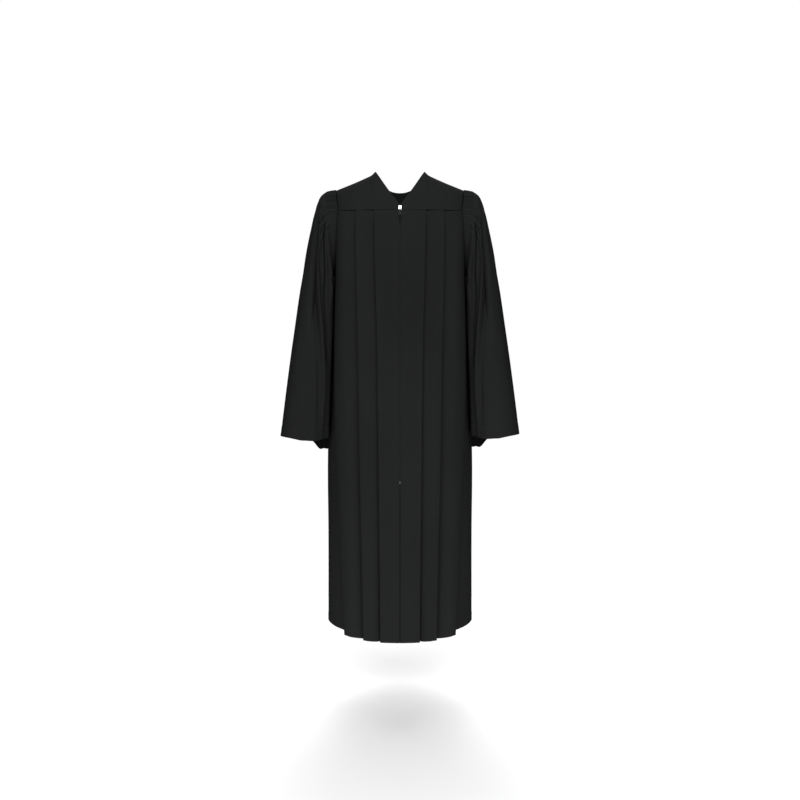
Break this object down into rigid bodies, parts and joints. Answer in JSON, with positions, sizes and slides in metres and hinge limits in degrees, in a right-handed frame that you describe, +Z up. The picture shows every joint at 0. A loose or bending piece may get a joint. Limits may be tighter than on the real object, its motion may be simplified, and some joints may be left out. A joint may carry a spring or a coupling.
{
  "type": "judge robe",
  "caption": "Long black judicial robe, filled-out hollow form: pleated front and back on shoulder yokes, V neck, front zip and bell sleeves with gathered heads.",
  "frame": {"origin": "midway between the two neck points, on the line over the shoulders, where the wearer's shoulders carry the robe", "axes": "+Z up, -Y the way the robe faces, +X the wearer's left"},
  "size_m": [0.6928, 0.3792, 1.3256],
  "materials": {
    "robe_cloth": "matte black polyester",
    "zip_tape": "matte black woven tape",
    "zip_metal": "bright plated metal"
  },
  "bodies": {
    "robe": {"front_yoke_left": "robe_cloth", "front_yoke_right": "robe_cloth", "back_yoke": "robe_cloth", "front_left": "robe_cloth", "front_right": "robe_cloth", "back_panel": "robe_cloth", "sleeve_left": "robe_cloth", "sleeve_right": "robe_cloth", "zip_tape_left": "zip_tape", "zip_tape_right": "zip_tape", "zip_slider": "zip_metal", "zip_bottom_stop": "zip_metal"},
    "pull_tab": {"zip_pull_tab": "zip_metal"}
  },
  "joints": [
    {"name": "pull_tab_hinge", "type": "hinge", "parent": "robe", "child": "pull_tab", "pos_m": [0, -0.09324, -0.107], "axis": [-1, 0, 0], "range_deg": [0, 165]}
  ]
}
